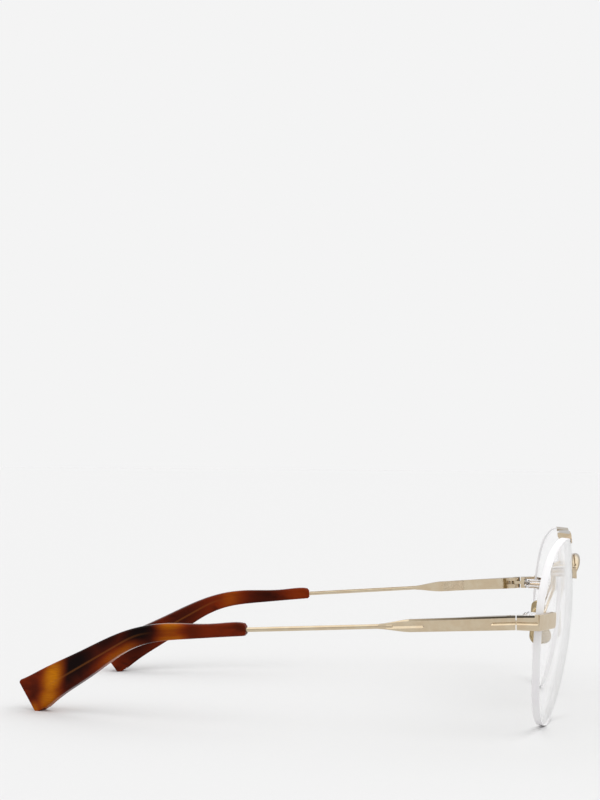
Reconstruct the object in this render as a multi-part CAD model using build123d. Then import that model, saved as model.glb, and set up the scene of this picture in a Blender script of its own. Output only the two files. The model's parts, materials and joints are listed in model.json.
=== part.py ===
from build123d import *
import math
import os

# Rimless pilot eyeglasses: two drilled lenses carry the bridge, a brow bar and the end pieces,
# the temples fold on screw hinges and the metal nose pads rock on their screws.
#
# Millimetres. +X is the wearer's left, +Y runs back to the ears and +Z is up. While modelling,
# Y = 0 is the gap in front of the temples; every piece is then moved so that the origin lies
# under the middle of the glasses, on the table they stand on. Each piece is drawn for the
# wearer's left and mirrored for the right.

# Lenses: a spherical shell cut to a pilot outline, turned out and tilted under
LENS_CENTRE = (36.0, -13.9, 25.8)
LENS_WRAP = 9.0
LENS_TILT = 6.0
FRONT_RADIUS = 125.0
LENS_THICKNESS = 2.0
REAR_RADIUS = FRONT_RADIUS - LENS_THICKNESS
LENS_BEVEL = 0.15
PRISM_BACK = -12.0
PRISM_LENGTH = 16.0
# Outline seen square on, from the nasal top corner over the brow: x to the temple, y up
LENS_OUTLINE = [
    (-20.5, 24.7), (-6.0, 26.2), (9.0, 25.2), (21.0, 19.6), (27.4, 8.0), (26.2, -6.0),
    (18.5, -19.0), (3.0, -26.0), (-15.5, -22.2), (-24.8, -11.0), (-27.2, 4.0), (-27.4, 16.0),
]
LENS_TOP = 26.2
FIT = 0.03

# Compression mounts: pairs of posts that pass through the lens into clear twin sleeves
POST_RADIUS = 0.5
POST_PITCH = 2.7
SLEEVE_RADIUS = 1.5
SLEEVE_LENGTH = 4.6
SLEEVE_CAP = 0.7
SLEEVE_ROUNDING = 0.5
NIPPLE_RADIUS = 0.85
END_MOUNT = (23.3, 5.75)
BRIDGE_MOUNT = (-23.6, 15.5)

# End pieces
HALF_WIDTH = 68.0
HINGE_Z = 31.75
HINGE_GAP = 0.25
ARM_THICKNESS = 1.4
ARM_HEIGHT = 3.7
PLATE_HEIGHT = 4.2
PLATE_THICKNESS = 1.0
PLATE_END = 20.2
PLATE_CORNER = 0.8
ARM_FRONT_Y = -9.0
CORNER_BEVEL = 0.45
BLOCK_LENGTH = 2.0

# Screw hinges
PIN_INSET = 2.0
KNUCKLE_RADIUS = 1.35
TONGUE_RADIUS = 1.15
TONGUE_HEIGHT = 1.0
SLOT_CLEARANCE = 0.15
SLOT_PLAY = 0.07
SLOT_HEIGHT = TONGUE_HEIGHT + 2 * SLOT_PLAY
SAW_RADIUS = 3.0
SCREW_RADIUS = 0.55
SCREW_PLAY = 0.06
SCREW_HEAD_RADIUS = 0.95
SCREW_HEAD_HEIGHT = 0.55
DRIVER_SLOT = 0.25

# Temples: a flat blade that draws down to a wire, whose end is the core of the tip
BLADE_LENGTH = 37.0
BLADE_WAIST = 28.5
BLADE_HEIGHT = 3.7
WAIST_HEIGHT = 3.4
WIRE_RADIUS = 0.65
WIRE_START = 33.0
NECK_SLOPE = (1, -0.05)
NECK_THICKNESS = 1.5
SPRING_THICKNESS = 1.9
SPRING_PLACE = 14.0
KNUCKLE_LENGTH = 5.2
BLADE_LEAD = 2.0
BLADE_BEVEL = 0.45
TEMPLE_BEND = (53.0, 105.4, 24.9)
TEMPLE_END = (39.5, 142.7, 3.3)
BEND_RADIUS = 40.0
TIP_START = 74.5
CORE_SHORT = 7.0
CORE_POINT = 3.0
BORE_PLAY = 0.04

# Decorative grooves in the outer faces
GROOVE_DEPTH = 0.3
GROOVE_FLOOR = 0.1
FRONT_GROOVE_HEIGHT = 0.9
FRONT_GROOVE_LENGTH = 6.5
REAR_GROOVE_HEIGHT = 1.3
REAR_GROOVE_START = 24.3
REAR_GROOVE_LENGTH = 10.8

# Acetate tips
TIP_FRONT_HEIGHT = 3.2
TIP_FRONT_WIDTH = 3.0
TIP_END_WIDTH = 3.8
TIP_FLARE = 0.062
TIP_EXTRA_FLARE = 0.084
FLARE_FROM = 37.0
TIP_CHAMFER = 1.0
TIP_CORNER = 1.0
TIP_TRIM = 0.5
TIP_LEAN = 1.6
TIP_EDGE = 0.9
TIP_SECTIONS = 9

# Bridge and brow bar
BRIDGE_RADIUS = 1.35
BRIDGE_FOOT_RADIUS = 0.6
BRIDGE_SHOULDER = 0.32
BRIDGE_FOOT_INSET = 1.4
BRIDGE_FOOT_RISE = 0.3
BRIDGE_APEX = (0.0, -17.3, 44.9)
TAB_LENGTH = 6.6
TAB_HEIGHT = 3.5
TAB_THICKNESS = 1.1
BROW_RISE = 1.5
BROW_GRIP = 0.9
BROW_FRONT_LEG = 0.3
BROW_REAR_LEG = 1.3
BROW_FROM = -20.0
BROW_TO = -14.5
BROW_WINDOW = 6.0
BROW_DEPTH = LENS_THICKNESS + BROW_FRONT_LEG + BROW_REAR_LEG
BROW_INSET = 0.8
BROW_HEIGHT = 1.2
BROW_EDGE = 0.45
BROW_ARCH = 0.4

# Nose pads
PAD_CENTRE = (10.3, -6.3, 25.1)
PAD_SPLAY = 25.0
PAD_FLARE = 15.0
PAD_THICKNESS = 1.3
PAD_TOP_RADIUS = 2.3
PAD_TOP_Y = 3.3
PAD_FOOT_RADIUS = 2.3
PAD_FOOT_X = 1.4
PAD_FOOT_Y = -3.3
PAD_EDGE = 0.45
PAD_AXIS_DEPTH = 2.4
BOSS_WIDTH = 1.1
BOSS_RADIUS = 0.75
BOX_WIDTH = 2.8
BOX_HEIGHT = 2.8
BOX_FRONT = 1.75
BOX_BACK = 4.0
BOX_SLOT = 1.4
BOX_FLOOR = 3.4
PAD_SCREW_RADIUS = 0.4
PAD_SCREW_PLAY = 0.05
PAD_HEAD_RADIUS = 0.75
PAD_HEAD_HEIGHT = 0.4
PAD_ARM_RADIUS = 0.55
PAD_ARM_POINTS = [(7.2, -17.0, 43.7), (7.2, -11.6, 42.0), (8.4, -11.2, 36.0)]
PAD_ARM_BENDS = [1.6, 3.0, 1.4]
PAD_ARM_TURN = 3.4
PAD_ARM_FOOT = -1.0
PAD_ARM_INSET = 0.15


def sine(degrees):
    return math.sin(math.radians(degrees))


def cosine(degrees):
    return math.cos(math.radians(degrees))


# Left lens: x towards the temple, y up, z forwards, origin at the front vertex
LENS = Plane(
    origin=LENS_CENTRE,
    x_dir=(cosine(LENS_WRAP), sine(LENS_WRAP), 0),
    z_dir=(sine(LENS_WRAP) * cosine(LENS_TILT), -cosine(LENS_WRAP) * cosine(LENS_TILT), -sine(LENS_TILT)),
)
# Left temple: x inwards from the outer face, y up, z along the straight part to the rear
TEMPLE_ORIGIN = Vector(HALF_WIDTH, 0, HINGE_Z)
BEND_POINT = Vector(*TEMPLE_BEND)
TEMPLE_PATH_START = TEMPLE_ORIGIN - Vector(WIRE_RADIUS, 0, 0)
TEMPLE_RUN = (BEND_POINT - TEMPLE_PATH_START).normalized()
TEMPLE = Plane(
    origin=TEMPLE_ORIGIN,
    x_dir=(-TEMPLE_RUN.Y, TEMPLE_RUN.X, 0),
    z_dir=TEMPLE_RUN,
)
# Left end piece: x inwards from the outer face, y up, z to the rear
ARM = Plane(origin=(HALF_WIDTH, 0, HINGE_Z), x_dir=(-1, 0, 0), z_dir=(0, 1, 0))
# Left nose pad: x forwards, y up, z towards the nose, origin on the bearing face
PAD = Plane(
    origin=PAD_CENTRE,
    x_dir=(-sine(PAD_SPLAY), -cosine(PAD_SPLAY), 0),
    z_dir=(-cosine(PAD_SPLAY) * cosine(PAD_FLARE), sine(PAD_SPLAY) * cosine(PAD_FLARE), -sine(PAD_FLARE)),
)
HINGE_PIN = Vector(HALF_WIDTH - PIN_INSET, KNUCKLE_RADIUS, HINGE_Z)


def block(low, high):
    """A box between two corners."""
    size = Vector(*high) - Vector(*low)
    return Pos(*low) * Box(size.X, size.Y, size.Z, align=Align.MIN)


def ball(radius):
    """A ball about the centre that both lens faces share, with its poles and seam clear of the lens."""
    return Pos(0, 0, -FRONT_RADIUS) * Rot(90, 0, 0) * Sphere(radius)


def lens_outline(grow=0.0):
    """The lens's outline, or one that is larger or smaller by an even share all round."""
    face = make_face(Spline(*LENS_OUTLINE, periodic=True))
    return scale(face, by=1 + grow / LENS_TOP)


def lens_prism(face):
    return extrude(Pos(0, 0, PRISM_BACK) * face, PRISM_LENGTH)


def mount_plane(mount):
    """The plane that touches the lens's front face at a mount: z is outwards."""
    across, up = mount
    height = math.sqrt(FRONT_RADIUS**2 - across**2 - up**2)
    return Plane(origin=(across, up, height - FRONT_RADIUS), x_dir=(1, 0, 0), z_dir=(across, up, height))


def twin_rods(mount, radius, back, front, rounding=0.0):
    """Two parallel rods square to the lens at a mount, from one depth to another."""
    rod = Cylinder(radius, front - back, align=(Align.CENTER, Align.CENTER, Align.MIN))
    if rounding:
        rod = fillet(rod.edges().group_by(Axis.Z)[0], rounding)
    plane = mount_plane(mount)
    return [plane * Pos(x, 0, back) * rod for x in (-POST_PITCH / 2, POST_PITCH / 2)]


def lens():
    body = (lens_prism(lens_outline()) & ball(FRONT_RADIUS)) - ball(REAR_RADIUS)
    rims = body.edges().filter_by(lambda edge: edge.length > LENS_CENTRE[0])
    body = chamfer(rims, LENS_BEVEL)
    for mount in (END_MOUNT, BRIDGE_MOUNT):
        body -= twin_rods(mount, NIPPLE_RADIUS + FIT, -2 * LENS_THICKNESS, LENS_THICKNESS)
    return LENS * body


def posts(mount):
    """Two posts brazed to the mount, ending just short of the sleeve's closed end."""
    back = -LENS_THICKNESS - SLEEVE_LENGTH + SLEEVE_CAP
    return [LENS * (rod & ball(FRONT_RADIUS + FIT)) for rod in twin_rods(mount, POST_RADIUS, back, 1.0)]


def sleeve(mount):
    """Twin clear sleeve: two capped barrels behind the lens, with necks through its holes."""
    back = -LENS_THICKNESS - SLEEVE_LENGTH
    barrels = twin_rods(mount, SLEEVE_RADIUS, back, 0, SLEEVE_ROUNDING)
    body = (barrels[0] + barrels[1]) & ball(REAR_RADIUS - FIT)
    for neck in twin_rods(mount, NIPPLE_RADIUS, -LENS_THICKNESS - 1, 1):
        body += neck & ball(FRONT_RADIUS)
    for bore in twin_rods(mount, POST_RADIUS + FIT, back + SLEEVE_CAP - FIT, 1):
        body -= bore
    return LENS * body


def front_plate(mount, low_x, high_x, height, thickness):
    """A plate that lies on the lens's front face around a mount."""
    middle = ((low_x + high_x) / 2, mount[1])
    shape = lens_prism(Pos(*middle) * RectangleRounded(high_x - low_x, height, PLATE_CORNER))
    return LENS * ((shape & ball(FRONT_RADIUS + FIT + thickness)) - ball(FRONT_RADIUS + FIT))


def end_piece():
    """Front plate, side arm and rear block with the hinge tongue."""
    plate = front_plate(END_MOUNT, PLATE_END, HALF_WIDTH, PLATE_HEIGHT, PLATE_THICKNESS)
    plate = plate & block((0, -40, 0), (HALF_WIDTH, 0, 2 * HINGE_Z))
    corner_y = min(v.Y for v in plate.vertices() if v.X > HALF_WIDTH - FIT)
    corner_z = plate.center().Z
    side = make_face(Polyline(
        (-HINGE_GAP, HINGE_Z - ARM_HEIGHT / 2), (-HINGE_GAP, HINGE_Z + ARM_HEIGHT / 2),
        (ARM_FRONT_Y, corner_z + PLATE_HEIGHT / 2), (ARM_FRONT_Y, corner_z - PLATE_HEIGHT / 2), close=True))
    arm = extrude(Plane.YZ.offset(HALF_WIDTH - ARM_THICKNESS) * side, ARM_THICKNESS)
    outer = arm.edges().filter_by(lambda edge: edge.center().X > HALF_WIDTH - FIT)
    arm = chamfer(outer.filter_by(lambda edge: edge.length > PLATE_HEIGHT + FIT), BLADE_BEVEL)
    arm = arm & (LENS * ball(FRONT_RADIUS + FIT + PLATE_THICKNESS))
    inner_x = HINGE_PIN.X - KNUCKLE_RADIUS
    rear = block((inner_x, -HINGE_GAP - BLOCK_LENGTH, HINGE_Z - ARM_HEIGHT / 2),
                 (HALF_WIDTH - ARM_THICKNESS / 2, -HINGE_GAP, HINGE_Z + ARM_HEIGHT / 2))
    body = plate + arm + rear
    wedge = CORNER_BEVEL * math.sqrt(2)
    body -= Pos(HALF_WIDTH, corner_y, corner_z) * Rotation(0, 0, 45) * Box(wedge, wedge, 2 * PLATE_HEIGHT)
    start = ARM_FRONT_Y - FRONT_GROOVE_LENGTH
    body -= ARM * groove(start, FRONT_GROOVE_LENGTH - start, FRONT_GROOVE_HEIGHT)
    tongue = extrude(Pos(HINGE_PIN.X, HINGE_PIN.Y) * Circle(TONGUE_RADIUS), TONGUE_HEIGHT)
    tongue += block((HINGE_PIN.X - TONGUE_RADIUS, -HINGE_GAP - 0.5, 0),
                    (HINGE_PIN.X + TONGUE_RADIUS, HINGE_PIN.Y, TONGUE_HEIGHT))
    body += Pos(0, 0, HINGE_Z - TONGUE_HEIGHT / 2) * tongue
    body -= Pos(*HINGE_PIN) * Cylinder(SCREW_RADIUS + SCREW_PLAY, 2 * ARM_HEIGHT)
    return body


def temple_path(length_cut=0.0):
    """Centre line of the wire: straight from the blade, then bent down and in."""
    start = TEMPLE_PATH_START + TEMPLE_RUN * WIRE_START
    end = Vector(*TEMPLE_END)
    end -= (end - BEND_POINT).normalized() * length_cut
    return FilletPolyline(start, BEND_POINT, end, radius=BEND_RADIUS)


def groove(start, length, height):
    """A V groove with rounded ends, in the temple's own axes."""
    outer_face = Plane(origin=(0, 0, start + length / 2), x_dir=(0, 0, 1), z_dir=(1, 0, 0))
    flank = height * (1 - GROOVE_FLOOR) / 2
    taper = math.degrees(math.atan(flank / GROOVE_DEPTH))
    return extrude(outer_face * SlotOverall(length, height), GROOVE_DEPTH, taper=taper)


def blade():
    """Flat blade in the temple's own axes: its side outline cut by its plan outline."""
    half_waist = WAIST_HEIGHT / 2
    half_front = BLADE_HEIGHT / 2
    thick = HALF_WIDTH - HINGE_PIN.X + KNUCKLE_RADIUS
    wire = 2 * WIRE_RADIUS
    lead = -BLADE_LEAD
    upper = Polyline((lead, half_front), (0, half_front), (BLADE_WAIST, half_waist))
    upper += Spline((BLADE_WAIST, half_waist), (BLADE_LENGTH, WIRE_RADIUS), tangents=2 * [NECK_SLOPE])
    side = upper + mirror(upper, about=Plane.XZ)
    side += Line((lead, half_front), (lead, -half_front))
    side += Line((BLADE_LENGTH, WIRE_RADIUS), (BLADE_LENGTH, -WIRE_RADIUS))
    side_plane = Plane(origin=(0, 0, 0), x_dir=(0, 0, 1), z_dir=(1, 0, 0))
    side_body = extrude(side_plane * make_face(side), 2 * thick)
    plan = Polyline((KNUCKLE_LENGTH, thick), (lead, thick), (lead, 0), (BLADE_LENGTH, 0),
                    (BLADE_LENGTH, wire), (BLADE_WAIST, NECK_THICKNESS))
    plan += Spline((BLADE_WAIST, NECK_THICKNESS), (SPRING_PLACE, SPRING_THICKNESS), (KNUCKLE_LENGTH, thick),
                   tangents=[(-1, 0), (-1, 0)])
    plan_plane = Plane(origin=(0, -BLADE_HEIGHT, 0), x_dir=(0, 0, 1), z_dir=(0, 1, 0))
    return side_body & extrude(plan_plane * make_face(plan), 2 * BLADE_HEIGHT)


def hinge_slot():
    """Slot for the tongue, open to the front and the inner side, with the saw's run-out behind."""
    reach = TONGUE_RADIUS + SLOT_CLEARANCE
    plan = Circle(reach)
    plan += Pos(-reach, 0) * Rectangle(2 * reach, 2 * reach)
    plan += Pos(-2 * reach, 0) * Rectangle(2 * reach, 2 * reach)
    plan += Pos(0, -reach) * Rectangle(2 * reach, 2 * reach)
    plan += Pos(-SAW_RADIUS - 0.4, 0.85) * Circle(SAW_RADIUS)
    return Pos(*HINGE_PIN) * Pos(0, 0, -SLOT_HEIGHT / 2) * extrude(plan, SLOT_HEIGHT)


def knuckle_waste():
    """What is cut from the inner front corner so that the blade can turn past the end piece."""
    corner = Pos(-2, -2) * Rectangle(4, 4)
    return Pos(*HINGE_PIN) * extrude(corner - Circle(KNUCKLE_RADIUS), BLADE_HEIGHT, both=True)


def screw_seat_z():
    return HINGE_Z + BLADE_HEIGHT / 2 - SCREW_HEAD_HEIGHT - 0.1


def core(radius):
    """The wire from the blade to its pointed end inside the tip."""
    path = temple_path(CORE_SHORT + CORE_POINT)
    rod = sweep(Plane(origin=path @ 0, z_dir=path % 0) * Circle(radius), path=path)
    cone = Cone(radius, radius / 3, CORE_POINT, align=(Align.CENTER, Align.CENTER, Align.MIN))
    return rod + Plane(origin=path @ 1, z_dir=path % 1) * cone


def temple():
    """Blade, wire and core in one piece, with grooves outside and a slotted knuckle in front."""
    body = blade()
    long_edges = body.edges().filter_by(lambda edge: edge.length > BLADE_LENGTH / 5)
    body = chamfer(long_edges.filter_by(lambda edge: abs(edge.center().X) < FIT), BLADE_BEVEL)
    body -= groove(REAR_GROOVE_START, REAR_GROOVE_LENGTH, REAR_GROOVE_HEIGHT)
    body -= groove(-FRONT_GROOVE_LENGTH, 2 * FRONT_GROOVE_LENGTH, FRONT_GROOVE_HEIGHT)
    body = TEMPLE * body
    body -= block((0, -10, 0), (2 * HALF_WIDTH, 0, 2 * HINGE_Z))
    body -= knuckle_waste()
    body -= hinge_slot()
    body -= Pos(*HINGE_PIN) * Cylinder(SCREW_RADIUS + FIT / 3, 2 * BLADE_HEIGHT)
    head = Cylinder(SCREW_HEAD_RADIUS + FIT, BLADE_HEIGHT, align=(Align.CENTER, Align.CENTER, Align.MIN))
    body -= Pos(HINGE_PIN.X, HINGE_PIN.Y, screw_seat_z()) * head
    return body + core(WIRE_RADIUS)


def hinge_screw():
    seat = screw_seat_z()
    low = HINGE_Z - BLADE_HEIGHT / 2 + 0.2
    up = (Align.CENTER, Align.CENTER, Align.MIN)
    screw = Pos(0, 0, low) * Cylinder(SCREW_RADIUS, seat - low, align=up)
    screw += Pos(0, 0, seat) * Cylinder(SCREW_HEAD_RADIUS, SCREW_HEAD_HEIGHT, align=up)
    cut = Box(2 * SCREW_HEAD_RADIUS, DRIVER_SLOT, DRIVER_SLOT, align=(Align.CENTER, Align.CENTER, Align.MAX))
    screw -= Pos(0, 0, seat + SCREW_HEAD_HEIGHT) * cut
    return Pos(HINGE_PIN.X, HINGE_PIN.Y) * screw


def tip_height(run):
    return TIP_FRONT_HEIGHT + TIP_FLARE * run + TIP_EXTRA_FLARE * max(0.0, run - FLARE_FROM)


def tip_plane(path, run):
    """Section plane at a distance behind the tip's front end: x sideways, y up."""
    along = (TIP_START - WIRE_START + run) / path.length
    forward = path % along
    return Plane(origin=path @ along, x_dir=forward.cross(Vector(0, 0, 1)), z_dir=forward)


def tip_end(height):
    """Side view of the tip's last part, x to the rear and y down: it leans in below, with round corners."""
    reach = height / 2 + FIT
    slope = (TIP_FLARE + TIP_EXTRA_FLARE) / 2
    low = TIP_TRIM + TIP_LEAN
    outline = make_face(Polyline(
        (-height, slope * height - reach), (-TIP_TRIM, slope * TIP_TRIM - reach),
        (-low, reach - slope * low), (-height, reach - slope * height), close=True))
    return fillet(outline.vertices().sort_by(Axis.X)[-2:], TIP_CORNER)


def temple_tip():
    """Acetate tip: rounded sections that flare to the end, round the wire's bent core."""
    path = temple_path()
    length = path.length - (TIP_START - WIRE_START)
    sections = []
    for index in range(TIP_SECTIONS):
        share = index / (TIP_SECTIONS - 1)
        width = TIP_FRONT_WIDTH + (TIP_END_WIDTH - TIP_FRONT_WIDTH) * share
        shape = RectangleRounded(width, tip_height(share * length), TIP_EDGE)
        sections.append(tip_plane(path, share * length) * shape)
    body = loft(sections)
    height = tip_height(length)
    waste = Rectangle(height, 2 * height) - tip_end(height)
    side = Plane(origin=(height, 0, 0), x_dir=(0, 0, 1), z_dir=(-1, 0, 0))
    body -= tip_plane(path, length) * extrude(side * waste, 2 * height)
    body = chamfer(body.faces().sort_by(Axis.Y)[0].edges(), TIP_CHAMFER / 2)
    return body - core(WIRE_RADIUS + BORE_PLAY)


def bridge():
    """Arched bar whose feet lie on the two drilled tabs."""
    across, up = BRIDGE_MOUNT
    half = TAB_LENGTH / 2
    tab = front_plate(BRIDGE_MOUNT, across - half, across + half, TAB_HEIGHT, TAB_THICKNESS)
    foot_plane = LENS * mount_plane((across - BRIDGE_FOOT_INSET, up + BRIDGE_FOOT_RISE))
    foot = (foot_plane * Pos(0, 0, TAB_THICKNESS)).position
    other = Vector(-foot.X, foot.Y, foot.Z)
    path = ThreePointArc(foot, BRIDGE_APEX, other)
    shares = (0, BRIDGE_SHOULDER, 0.5, 1 - BRIDGE_SHOULDER, 1)
    radii = (BRIDGE_FOOT_RADIUS, BRIDGE_RADIUS, BRIDGE_RADIUS, BRIDGE_RADIUS, BRIDGE_FOOT_RADIUS)
    planes = [Plane(origin=path @ share, z_dir=path % share) for share in shares]
    rings = [plane * Circle(radius) for plane, radius in zip(planes, radii)]
    bar = sweep(rings, path=path, multisection=True)
    bar += Pos(*foot) * Sphere(BRIDGE_FOOT_RADIUS)
    bar += Pos(*other) * Sphere(BRIDGE_FOOT_RADIUS)
    keep_off = LENS * ball(FRONT_RADIUS + FIT)
    bar = bar - keep_off - mirror(keep_off, about=Plane.YZ)
    return bar + tab + mirror(tab, about=Plane.YZ)


def brow_clip():
    """Channel that grips the top edge of the lens."""
    window = Pos((BROW_FROM + BROW_TO) / 2, LENS_TOP) * Rectangle(BROW_TO - BROW_FROM, BROW_WINDOW)
    band = (lens_outline(BROW_RISE) & window) - lens_outline(-BROW_GRIP)
    body = (lens_prism(band) & ball(FRONT_RADIUS + BROW_FRONT_LEG)) - ball(REAR_RADIUS - BROW_REAR_LEG)
    body -= (lens_prism(lens_outline(FIT)) & ball(FRONT_RADIUS + FIT)) - ball(REAR_RADIUS - FIT)
    return LENS * body


def brow_bar():
    """Two clips joined by a slightly arched flat bar over the nose."""
    clip = brow_clip()
    top = LENS_OUTLINE[0][1] + BROW_RISE
    front = math.sqrt(FRONT_RADIUS**2 - BROW_FROM**2 - top**2) - FRONT_RADIUS + BROW_FRONT_LEG
    foot = (LENS * Pos(BROW_FROM + BROW_INSET, top - BROW_HEIGHT / 2, front - BROW_DEPTH / 2)).position
    path = ThreePointArc(foot, (0, foot.Y - BROW_ARCH, foot.Z + BROW_ARCH), (-foot.X, foot.Y, foot.Z))
    section = Plane(origin=path @ 0, x_dir=(0, 1, 0), z_dir=path % 0)
    bar = sweep(section * RectangleRounded(BROW_DEPTH, BROW_HEIGHT, BROW_EDGE), path=path)
    return bar + clip + mirror(clip, about=Plane.YZ)


def nose_pad():
    """Metal pad with the drilled boss that its screw passes through, in the pad's own axes."""
    circles = [Pos(0, PAD_TOP_Y) * CenterArc((0, 0), PAD_TOP_RADIUS, 0, 360)]
    for x in (-PAD_FOOT_X, PAD_FOOT_X):
        circles.append(Pos(x, PAD_FOOT_Y) * CenterArc((0, 0), PAD_FOOT_RADIUS, 0, 360))
    outline = make_face(make_hull(Curve(circles).edges()))
    plate = extrude(outline, -PAD_THICKNESS)
    plate = fillet(plate.edges().group_by(Axis.Z)[0] + plate.edges().group_by(Axis.Z)[-1], PAD_EDGE)
    side = Plane(origin=(-BOSS_WIDTH / 2, 0, 0), x_dir=(0, 1, 0), z_dir=(1, 0, 0))
    profile = Pos(0, -PAD_AXIS_DEPTH) * Circle(BOSS_RADIUS)
    stem = PAD_AXIS_DEPTH - PAD_THICKNESS / 2
    profile += Pos(0, -PAD_AXIS_DEPTH + stem / 2) * Rectangle(2 * BOSS_RADIUS, stem)
    profile -= Pos(0, -PAD_AXIS_DEPTH) * Circle(PAD_SCREW_RADIUS + PAD_SCREW_PLAY)
    return PAD * (plate + extrude(side * profile, BOSS_WIDTH))


def pad_rod(radius, low_x, high_x):
    """A rod on the pad's rocking axis."""
    rod = Cylinder(radius, high_x - low_x, align=(Align.CENTER, Align.CENTER, Align.MIN))
    return PAD * Plane(origin=(low_x, 0, -PAD_AXIS_DEPTH), z_dir=(1, 0, 0)) * rod


def pad_box():
    """Forked box that holds the boss."""
    half_x = BOX_WIDTH / 2
    half_y = BOX_HEIGHT / 2
    body = block((-half_x, -half_y, -BOX_BACK), (half_x, half_y, -BOX_FRONT))
    body = fillet(body.edges().group_by(Axis.Z)[0], 0.3)
    body -= block((-BOX_SLOT / 2, -BOX_HEIGHT, -BOX_FLOOR), (BOX_SLOT / 2, BOX_HEIGHT, 0))
    return PAD * body - pad_rod(PAD_SCREW_RADIUS + FIT / 3, -BOX_WIDTH, BOX_WIDTH)


def pad_screw():
    half_x = BOX_WIDTH / 2
    head_x = half_x + PAD_HEAD_HEIGHT
    screw = pad_rod(PAD_SCREW_RADIUS, -half_x, half_x) + pad_rod(PAD_HEAD_RADIUS, half_x, head_x)
    cut = Pos(head_x, 0, -PAD_AXIS_DEPTH) * Box(DRIVER_SLOT, DRIVER_SLOT, 2 * PAD_HEAD_RADIUS)
    return screw - PAD * cut


def pad_arm(bridge_body, box_body):
    """Wire from the back of the bridge, down behind the lens, to the back of the pad box."""
    depth = -BOX_BACK - PAD_ARM_RADIUS
    turn = (PAD * Pos(0, PAD_ARM_TURN, depth)).position
    end = (PAD * Pos(0, PAD_ARM_FOOT, depth + PAD_ARM_INSET)).position
    path = FilletPolyline(*PAD_ARM_POINTS, turn, end, radius=PAD_ARM_BENDS)
    wire = sweep(Plane(origin=path @ 0, z_dir=path % 0) * Circle(PAD_ARM_RADIUS), path=path)
    return wire - bridge_body - box_body


def left_pieces(bridge_body):
    box = pad_box()
    return {
        "lens": lens(),
        "end_piece": end_piece(),
        "end_posts": Compound(children=posts(END_MOUNT)),
        "end_sleeve": sleeve(END_MOUNT),
        "bridge_posts": Compound(children=posts(BRIDGE_MOUNT)),
        "bridge_sleeve": sleeve(BRIDGE_MOUNT),
        "pad_arm": pad_arm(bridge_body, box),
        "pad_box": box,
        "pad_screw": pad_screw(),
        "nose_pad": nose_pad(),
        "temple": temple(),
        "temple_tip": temple_tip(),
        "hinge_screw": hinge_screw(),
    }


def glasses():
    pieces = {"bridge": bridge(), "brow_bar": brow_bar()}
    for name, body in left_pieces(pieces["bridge"]).items():
        pieces["left_" + name] = body
        pieces["right_" + name] = mirror(body, about=Plane.YZ)
    return pieces


def main():
    os.makedirs("parts", exist_ok=True)
    pieces = glasses()
    boxes = [body.bounding_box() for body in pieces.values()]
    front = min(box.min.Y for box in boxes)
    rear = max(box.max.Y for box in boxes)
    home = Pos(0, -(front + rear) / 2, 0)
    for name, body in pieces.items():
        export_step(home * body, "parts/" + name + ".step")
    pad_axis = (PAD * Pos(0, 0, -PAD_AXIS_DEPTH)).position
    print("moved by", home.position)
    print("hinge pin", (home * Pos(*HINGE_PIN)).position)
    print("pad axis", (home * Pos(*pad_axis)).position, PAD.x_dir)
    print("pad face", (home * Pos(*PAD_CENTRE)).position, PAD.z_dir)


main()
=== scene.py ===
import json
import math

import bpy
from mathutils import Matrix, Vector

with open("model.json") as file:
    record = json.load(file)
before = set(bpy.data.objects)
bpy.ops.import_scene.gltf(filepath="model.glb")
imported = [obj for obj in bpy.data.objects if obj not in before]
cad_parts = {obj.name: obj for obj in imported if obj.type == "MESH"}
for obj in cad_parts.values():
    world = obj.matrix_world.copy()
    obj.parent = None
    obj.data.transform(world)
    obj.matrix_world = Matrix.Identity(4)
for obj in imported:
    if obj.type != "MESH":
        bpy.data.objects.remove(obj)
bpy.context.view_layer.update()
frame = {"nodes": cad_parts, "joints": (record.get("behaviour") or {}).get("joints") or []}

# Looks of the rimless glasses. Every piece is a CAD node with a procedural material; all
# lengths are in metres in the CAD's frame: +X the wearer's left, +Y to the ears, +Z up.
MM = 0.001
SIDES = {"left": 1, "right": -1}

# Camera: beside the right temple, a little above it
CAMERA_PLACE = (-0.4536, -0.0674, 0.0732)
CAMERA_YAW = 9.10
CAMERA_PITCH = 2.47
CAMERA_ROLL = 0.47
CAMERA_LENS = 65.35
SENSOR = 36.0

# Studio: brightness of the sky by the sine of the height angle, and the plain backdrop
SKY = [(0.0, 0.55), (0.35, 0.70), (0.58, 1.35), (0.94, 1.5), (0.965, 0.12), (1.0, 0.08)]
BACKDROP = 0.905
FLOOR_ALBEDO = 0.713
FLOOR_SIZE = 30.0
KEY_STRENGTH = 0.5
KEY_ANGLE = 50.0
KEY_TURN = (28.0, -22.0, 0.0)

# Colours, linear
GOLD = (0.62, 0.52, 0.375)
GOLD_ROSE = (0.59, 0.475, 0.33)
PAD_GOLD = (0.43, 0.335, 0.19)
PAD_GOLD_DEEP = (0.36, 0.275, 0.15)
SCREW_GOLD = (0.55, 0.45, 0.30)
SCREW_DARK = (0.30, 0.24, 0.16)
AMBER = (0.52, 0.175, 0.002)
ORANGE = (0.35, 0.03, 0.001)
RUST = (0.135, 0.0135, 0.0015)
DARK = (0.004, 0.0006, 0.0004)
CORE_LINE = (0.30, 0.10, 0.02)
EDGE_GREY = (0.85, 0.84, 0.845)
EDGE_ROSE = (0.83, 0.81, 0.825)
CLEAR = (0.97, 0.97, 0.97, 1.0)

# How the lenses are turned out and tilted under, in degrees, and how far a face may lean from
# the lens's axis (as a cosine) before it counts as the ground edge
LENS_WRAP = 9.0
LENS_TILT = 6.0
EDGE_FROM = 0.88

# Refractive indices
LENS_IOR = 1.5
ACETATE_IOR = 1.49
SLEEVE_IOR = 1.46

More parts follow.
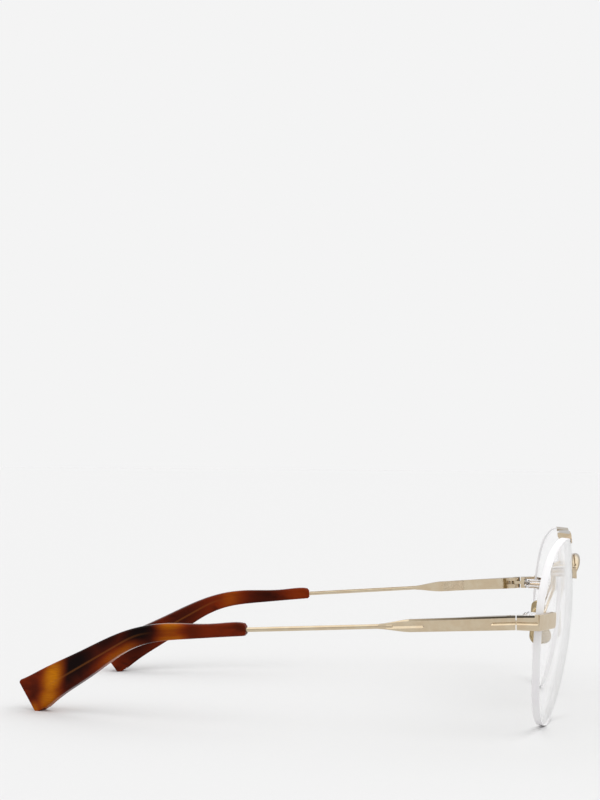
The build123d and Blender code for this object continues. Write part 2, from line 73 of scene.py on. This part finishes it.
# Tip: where its wire core runs, seen from the side (Y, Z in mm), how strongly it shows through
# and between which Y it fades in
CORE_FRONT = (11.4, 26.9)
CORE_BEND = (42.3, 24.9)
CORE_END = (71.3, 8.1)
CORE_ROUNDING = 3.5
CORE_SHOWS = 0.25
CORE_CLEARS = (36.0, 50.0)

# Amber and black clouds in the acetate: Y, height above the core, half length and half height in
# mm, then strength
RIGHT_CLOUDS = {
    "amber": [
        (32.5, 2.4, 4.6, 2.8, 0.8), (32.0, -2.6, 5.0, 2.8, 0.8), (32.5, 0.0, 4.0, 3.0, 0.45),
        (48.5, -3.0, 8.0, 2.6, 0.6), (70.5, 1.5, 4.3, 6.0, 1.0), (71.5, -3.0, 4.3, 5.0, 0.85),
        (78.0, -4.5, 4.5, 3.2, 0.9),
    ],
    "dark": [
        (26.5, 0.0, 4.5, 4.0, 0.4), (41.5, 1.2, 11.0, 9.0, 1.0), (52.5, 3.0, 9.0, 5.0, 0.9),
        (62.5, 1.5, 13.0, 8.0, 1.0), (76.0, -0.3, 3.6, 3.6, 0.6),
    ],
}
LEFT_CLOUDS = {
    "amber": [(14.0, 0.0, 6.0, 5.0, 0.2), (37.5, 0.0, 5.0, 7.0, 0.4), (79.0, -3.0, 4.0, 5.0, 0.3)],
    "dark": [(26.0, 0.0, 9.0, 5.0, 0.7), (54.0, 0.0, 9.0, 6.0, 0.7), (68.0, 0.0, 9.0, 7.0, 0.8)],
}


class Tree:
    """A material's or the world's node tree, with short calls to add nodes."""

    def __init__(self, owner):
        owner.use_nodes = True
        self.tree = owner.node_tree
        self.tree.nodes.clear()

    def add(self, kind, inputs=None, **settings):
        """Adds a node. Inputs are by name or number: a socket is linked, anything else is set."""
        node = self.tree.nodes.new(kind)
        for name, value in settings.items():
            setattr(node, name, value)
        for key, value in (inputs or {}).items():
            if isinstance(value, bpy.types.NodeSocket):
                self.tree.links.new(value, node.inputs[key])
            else:
                node.inputs[key].default_value = value
        return node

    def math(self, operation, first, second=0.0, clamp=False):
        node = self.add("ShaderNodeMath", {0: first, 1: second}, operation=operation, use_clamp=clamp)
        return node.outputs[0]

    def blend(self, share, first, second):
        """A mix of two colours by a share."""
        node = self.add("ShaderNodeMix", data_type="RGBA")
        for key, value in ((0, share), (6, first), (7, second)):
            if isinstance(value, bpy.types.NodeSocket):
                self.tree.links.new(value, node.inputs[key])
            else:
                node.inputs[key].default_value = (*value, 1.0) if key else value
        return node.outputs[2]

    def place(self, scale=(1, 1, 1), shift=(0, 0, 0)):
        """The point on the object in millimetres, stretched by a scale."""
        point = self.add("ShaderNodeTexCoord").outputs["Object"]
        stretch = tuple(s / MM for s in scale)
        node = self.add("ShaderNodeMapping", {"Vector": point, "Scale": stretch, "Location": shift})
        return node.outputs[0]

    def noise(self, vector, scale=1.0, detail=2.0, rough=0.5, distortion=0.0):
        node = self.add("ShaderNodeTexNoise", {
            "Vector": vector, "Scale": scale, "Detail": detail, "Roughness": rough, "Distortion": distortion,
        })
        return node.outputs["Fac"]

    def span(self, value, low, high, to_low=0.0, to_high=1.0):
        """Maps a value from one range to another, smoothly and held at the ends."""
        node = self.add("ShaderNodeMapRange", {
            "Value": value, "From Min": low, "From Max": high, "To Min": to_low, "To Max": to_high,
        }, interpolation_type="SMOOTHSTEP")
        return node.outputs[0]

    def bump(self, height, distance, strength=1.0, normal=None):
        inputs = {"Height": height, "Distance": distance, "Strength": strength}
        if normal:
            inputs["Normal"] = normal
        return self.add("ShaderNodeBump", inputs).outputs[0]

    def surface(self, shader):
        self.add("ShaderNodeOutputMaterial", {"Surface": shader})


def metal(name, pale, deep, rough, brush):
    """Plated metal: polishing lines, a faint shift of tone and fine scratches."""
    material = bpy.data.materials.new(name)
    tree = Tree(material)
    lines = tree.noise(tree.place(brush), 3.0, 4.0, 0.6)
    tone = tree.noise(tree.place(), 0.35, 2.0)
    scratches = tree.noise(tree.place((0.5, 4.0, 5.0)), 2.4, 8.0, 0.75, 0.4)
    scratch = tree.span(scratches, 0.60, 0.70)
    color = tree.blend(tree.span(tone, 0.35, 0.65), pale, deep)
    shade = tree.add("ShaderNodeHueSaturation", {
        "Color": color, "Value": tree.span(lines, 0.3, 0.7, 0.97, 1.03),
    })
    roughness = tree.math("ADD", tree.span(lines, 0.3, 0.7, rough, rough * 1.6),
                          tree.math("MULTIPLY", scratch, 0.08))
    normal = tree.bump(lines, 0.004 * MM, 0.35)
    normal = tree.bump(scratch, 0.003 * MM, 0.3, normal)
    shader = tree.add("ShaderNodeBsdfPrincipled", {
        "Base Color": shade.outputs[0], "Metallic": 1.0, "Roughness": roughness, "Normal": normal,
    })
    tree.surface(shader.outputs[0])
    return material


def screw_metal(name, axis_point, axis):
    """Turned metal: fine rings round the screw's own axis."""
    material = bpy.data.materials.new(name)
    tree = Tree(material)
    point = tree.add("ShaderNodeTexCoord").outputs["Object"]
    offset = tree.add("ShaderNodeVectorMath", {0: point, 1: axis_point}, operation="SUBTRACT").outputs[0]
    cross = tree.add("ShaderNodeVectorMath", {0: offset, 1: axis}, operation="CROSS_PRODUCT").outputs[0]
    radius = tree.add("ShaderNodeVectorMath", {0: cross}, operation="LENGTH").outputs["Value"]
    rings = tree.math("SINE", tree.math("MULTIPLY", radius, 2 * math.pi / (0.06 * MM)))
    dirt = tree.span(tree.noise(tree.place(), 2.2, 3.0), 0.45, 0.7)
    color = tree.blend(dirt, SCREW_GOLD, SCREW_DARK)
    normal = tree.bump(rings, 0.002 * MM, 0.5)
    shader = tree.add("ShaderNodeBsdfPrincipled", {
        "Base Color": color, "Metallic": 1.0, "Roughness": tree.span(rings, -1.0, 1.0, 0.18, 0.28),
        "Normal": normal,
    })
    tree.surface(shader.outputs[0])
    return material


def cloud(tree, point, patch):
    """A soft cloud centred at a place on the tip's side, from 0 outside to its strength inside."""
    y, z, half_length, half_height, strength = patch
    near = tree.add("ShaderNodeVectorMath", {0: point, 1: (0, y, z)}, operation="SUBTRACT").outputs[0]
    shape = tree.add("ShaderNodeVectorMath", {
        0: near, 1: (0, 1 / half_length, 1 / half_height),
    }, operation="MULTIPLY").outputs[0]
    reach = tree.add("ShaderNodeVectorMath", {0: shape}, operation="LENGTH").outputs["Value"]
    return tree.span(reach, 0.1, 1.35, strength, 0.0)


def clouds(tree, point, patches):
    total = cloud(tree, point, patches[0])
    for patch in patches[1:]:
        total = tree.math("MAXIMUM", total, cloud(tree, point, patch))
    return total


def beside_line(tree, point, start, end):
    """Distance in millimetres from the line through two places on the tip's side."""
    run = Vector((end[0] - start[0], end[1] - start[1])).normalized()
    normal = (0, -run.y, run.x)
    offset = tree.add("ShaderNodeVectorMath", {0: point, 1: (0, *start)}, operation="SUBTRACT").outputs[0]
    across = tree.add("ShaderNodeVectorMath", {0: offset, 1: normal}, operation="DOT_PRODUCT")
    return across.outputs["Value"]


def core_height(tree, point):
    """Height above the wire core, seen from the side, which follows the bend of the tip."""
    before = beside_line(tree, point, CORE_FRONT, CORE_BEND)
    after = beside_line(tree, point, CORE_BEND, CORE_END)
    height = tree.math("SMOOTH_MAX", before, after)
    height.node.inputs[2].default_value = CORE_ROUNDING
    return height


def core_line(tree, along, height):
    """A faint line on both sides of the tip, where the wire core shows through the acetate."""
    line = tree.span(tree.math("ABSOLUTE", height), 0.10, 0.42, CORE_SHOWS, 0.0)
    line = tree.math("MULTIPLY", line, tree.span(along, *CORE_CLEARS))
    return tree.math("MULTIPLY", line, tree.math("LESS_THAN", along, CORE_END[0]))


def stir(tree, point):
    """Pushes the points of the side view about, so that the clouds get ragged outlines."""
    drift = tree.add("ShaderNodeTexNoise", {
        "Vector": point, "Scale": 0.11, "Detail": 2.0, "Roughness": 0.45,
    })
    push = tree.add("ShaderNodeVectorMath", {
        0: drift.outputs["Color"], 1: (0.5, 0.5, 0.5),
    }, operation="SUBTRACT").outputs[0]
    push = tree.add("ShaderNodeVectorMath", {0: push, "Scale": 2.5}, operation="SCALE").outputs[0]
    return tree.add("ShaderNodeVectorMath", {0: point, 1: push}, operation="ADD").outputs[0]


def acetate(name, patches):
    """Tortoise acetate: amber and black clouds in red-brown, under a polished surface."""
    material = bpy.data.materials.new(name)
    tree = Tree(material)
    point = tree.place()
    along = tree.add("ShaderNodeSeparateXYZ", {0: point}).outputs[1]
    height = core_height(tree, point)
    side_view = stir(tree, tree.add("ShaderNodeCombineXYZ", {1: along, 2: height}).outputs[0])
    amber = clouds(tree, side_view, patches["amber"])
    dark = clouds(tree, side_view, patches["dark"])
    mottle = tree.noise(tree.place((1.0, 0.45, 1.2)), 0.30, 2.0, 0.45, 0.3)
    grain = tree.noise(tree.place((0.6, 0.12, 3.0)), 1.6, 3.0, 0.5)
    base = tree.blend(tree.span(mottle, 0.45, 0.80, 0.0, 0.6), RUST, DARK)
    color = tree.blend(dark, base, DARK)
    amber = tree.math("MULTIPLY", amber, tree.span(grain, 0.30, 0.65, 1.0, 0.85))
    color = tree.blend(amber, color, tree.blend(amber, ORANGE, AMBER))
    color = tree.blend(core_line(tree, along, height), color, CORE_LINE)
    normal = tree.bump(tree.noise(point, 0.25, 2.0), 0.03 * MM, 0.3)
    smudge = tree.noise(tree.place((1.0, 0.6, 1.0)), 0.7, 6.0, 0.65)
    shader = tree.add("ShaderNodeBsdfPrincipled", {
        "Base Color": color, "Roughness": tree.span(smudge, 0.35, 0.75, 0.08, 0.2), "IOR": ACETATE_IOR,
        "Specular IOR Level": 0.05, "Normal": normal,
    })
    tree.surface(shader.outputs[0])
    return material


def let_light_through(tree, glass):
    """The glass, without the black shadow that it would cast."""
    path = tree.add("ShaderNodeLightPath")
    lamp = tree.math("MAXIMUM", path.outputs["Is Shadow Ray"], path.outputs["Is Diffuse Ray"])
    clear = tree.add("ShaderNodeBsdfTransparent", {"Color": CLEAR})
    return tree.add("ShaderNodeMixShader", {0: lamp, 1: glass.outputs[0], 2: clear.outputs[0]}).outputs[0]


def lens_material(name, side):
    """Clear lens: polished faces and a finely ground edge."""
    material = bpy.data.materials.new(name)
    tree = Tree(material)
    wrap, tilt = math.radians(LENS_WRAP), math.radians(LENS_TILT)
    axis = (side * math.sin(wrap) * math.cos(tilt), -math.cos(wrap) * math.cos(tilt), -math.sin(tilt))
    normal = tree.add("ShaderNodeNewGeometry").outputs["True Normal"]
    facing = tree.add("ShaderNodeVectorMath", {0: normal, 1: axis}, operation="DOT_PRODUCT")
    edge = tree.math("LESS_THAN", tree.math("ABSOLUTE", facing.outputs["Value"]), EDGE_FROM)
    smear = tree.noise(tree.place(), 0.09, 4.0, 0.6)
    face = tree.add("ShaderNodeBsdfPrincipled", {
        "Base Color": (1.0, 0.995, 0.998, 1.0), "Roughness": tree.span(smear, 0.45, 0.75, 0.0, 0.03),
        "IOR": LENS_IOR, "Transmission Weight": 1.0,
    })
    grain = tree.noise(tree.place(), 8.0, 3.0)
    tone = tree.noise(tree.place(), 0.12, 2.0)
    ground = tree.add("ShaderNodeBsdfPrincipled", {
        "Base Color": tree.blend(tree.span(tone, 0.35, 0.65), EDGE_GREY, EDGE_ROSE),
        "Roughness": tree.span(grain, 0.3, 0.7, 0.45, 0.6), "IOR": LENS_IOR, "Specular IOR Level": 0.3,
        "Normal": tree.bump(grain, 0.01 * MM, 0.4),
    })
    mix = tree.add("ShaderNodeMixShader", {0: edge, 1: let_light_through(tree, face), 2: ground.outputs[0]})
    tree.surface(mix.outputs[0])
    return material


def sleeve_material(name):
    """Moulded clear plastic with flow lines and a slight haze."""
    material = bpy.data.materials.new(name)
    tree = Tree(material)
    flow = tree.noise(tree.place((1.0, 0.5, 1.0)), 1.6, 3.0, 0.5, 0.6)
    shader = tree.add("ShaderNodeBsdfPrincipled", {
        "Base Color": (0.97, 0.96, 0.97, 1.0), "Roughness": tree.span(flow, 0.4, 0.7, 0.03, 0.12),
        "IOR": SLEEVE_IOR, "Transmission Weight": 1.0, "Normal": tree.bump(flow, 0.02 * MM, 0.3),
    })
    tree.surface(let_light_through(tree, shader))
    return material


def plain(name, albedo):
    """Matt paper for the floor, with a very faint tooth."""
    material = bpy.data.materials.new(name)
    tree = Tree(material)
    tooth = tree.noise(tree.place(), 0.4, 2.0)
    value = tree.span(tooth, 0.3, 0.7, albedo * 0.998, albedo * 1.002)
    shade = tree.add("ShaderNodeCombineColor", {0: value, 1: value, 2: value})
    shader = tree.add("ShaderNodeBsdfDiffuse", {"Color": shade.outputs[0]})
    tree.surface(shader.outputs[0])
    return material


def assign(node, material):
    for slot in frame["nodes"][node].material_slots:
        slot.material = material


def dress():
    """Gives every piece its material. The screws' rings turn round the joints' own axes."""
    joints = {joint["name"]: joint for joint in frame["joints"]}
    gold = metal("gold", GOLD, GOLD_ROSE, 0.045, (3.0, 0.12, 3.0))
    pad = metal("pad_gold", PAD_GOLD, PAD_GOLD_DEEP, 0.16, (2.0, 2.0, 0.3))
    sleeve = sleeve_material("clear_sleeve")
    for node in ("bridge", "brow_bar"):
        assign(node, gold)
    for side, sign in SIDES.items():
        for part in ("end_piece", "end_posts", "bridge_posts", "pad_arm", "pad_box", "temple"):
            assign(f"{side}_{part}", gold)
        for part in ("end_sleeve", "bridge_sleeve"):
            assign(f"{side}_{part}", sleeve)
        assign(f"{side}_nose_pad", pad)
        assign(f"{side}_lens", lens_material(f"{side}_lens_clear", sign))
        for screw, joint_name in (("hinge", "temple_fold"), ("pad", "pad_rock")):
            joint = joints[f"{side}_{joint_name}"]
            turned = screw_metal(f"{side}_{screw}_metal", joint["pos_m"], joint["axis"])
            assign(f"{side}_{screw}_screw", turned)
    assign("right_temple_tip", acetate("right_tortoise", RIGHT_CLOUDS))
    assign("left_temple_tip", acetate("left_tortoise", LEFT_CLOUDS))


def camera():
    yaw, pitch, roll = (math.radians(a) for a in (CAMERA_YAW, CAMERA_PITCH, CAMERA_ROLL))
    forward = Vector((math.cos(pitch) * math.cos(yaw), math.cos(pitch) * math.sin(yaw), math.sin(pitch)))
    level = forward.cross(Vector((0, 0, 1))).normalized()
    upright = level.cross(forward)
    right = math.cos(roll) * level + math.sin(roll) * upright
    up = -math.sin(roll) * level + math.cos(roll) * upright
    data = bpy.data.cameras.new("camera")
    data.lens = CAMERA_LENS
    data.sensor_width = SENSOR
    data.clip_start = 0.01
    data.clip_end = 100.0
    eye = bpy.data.objects.new("camera", data)
    turn = Matrix((right, up, -forward)).transposed().to_4x4()
    eye.matrix_world = Matrix.Translation(CAMERA_PLACE) @ turn
    bpy.context.scene.collection.objects.link(eye)
    bpy.context.scene.camera = eye


def floor():
    half = FLOOR_SIZE / 2
    mesh = bpy.data.meshes.new("floor")
    corners = [(-half, -half, 0), (half, -half, 0), (half, half, 0), (-half, half, 0)]
    mesh.from_pydata(corners, [], [(0, 1, 2, 3)])
    obj = bpy.data.objects.new("floor", mesh)
    mesh.materials.append(plain("floor_paper", FLOOR_ALBEDO))
    bpy.context.scene.collection.objects.link(obj)


def sky():
    """Soft studio light from all round, which the camera sees as a plain backdrop."""
    world = bpy.data.worlds.new("studio")
    bpy.context.scene.world = world
    tree = Tree(world)
    direction = tree.add("ShaderNodeTexCoord").outputs["Generated"]
    height = tree.add("ShaderNodeSeparateXYZ", {0: direction}).outputs[2]
    ramp = tree.add("ShaderNodeValToRGB", {0: height})
    points = ramp.color_ramp.elements
    scale = max(value for place, value in SKY)
    for index, (place, value) in enumerate(SKY):
        point = points[index] if index < 2 else points.new(place)
        point.position = place
        point.color = (value / scale, value / scale, value / scale, 1.0)
    light = tree.add("ShaderNodeBackground", {"Color": ramp.outputs[0], "Strength": scale})
    seen = tree.add("ShaderNodeBackground", {"Color": (BACKDROP, BACKDROP, BACKDROP, 1.0)})
    path = tree.add("ShaderNodeLightPath")
    direct = tree.math("MAXIMUM", path.outputs["Is Camera Ray"], path.outputs["Is Transmission Ray"])
    mix = tree.add("ShaderNodeMixShader", {0: direct, 1: light.outputs[0], 2: seen.outputs[0]})
    tree.add("ShaderNodeOutputWorld", {"Surface": mix.outputs[0]})


def key():
    data = bpy.data.lights.new("key", "SUN")
    data.energy = KEY_STRENGTH
    data.angle = math.radians(KEY_ANGLE)
    lamp = bpy.data.objects.new("key", data)
    lamp.rotation_euler = [math.radians(a) for a in KEY_TURN]
    bpy.context.scene.collection.objects.link(lamp)


bpy.context.scene.view_settings.view_transform = "Standard"
dress()
camera()
floor()
sky()
key()
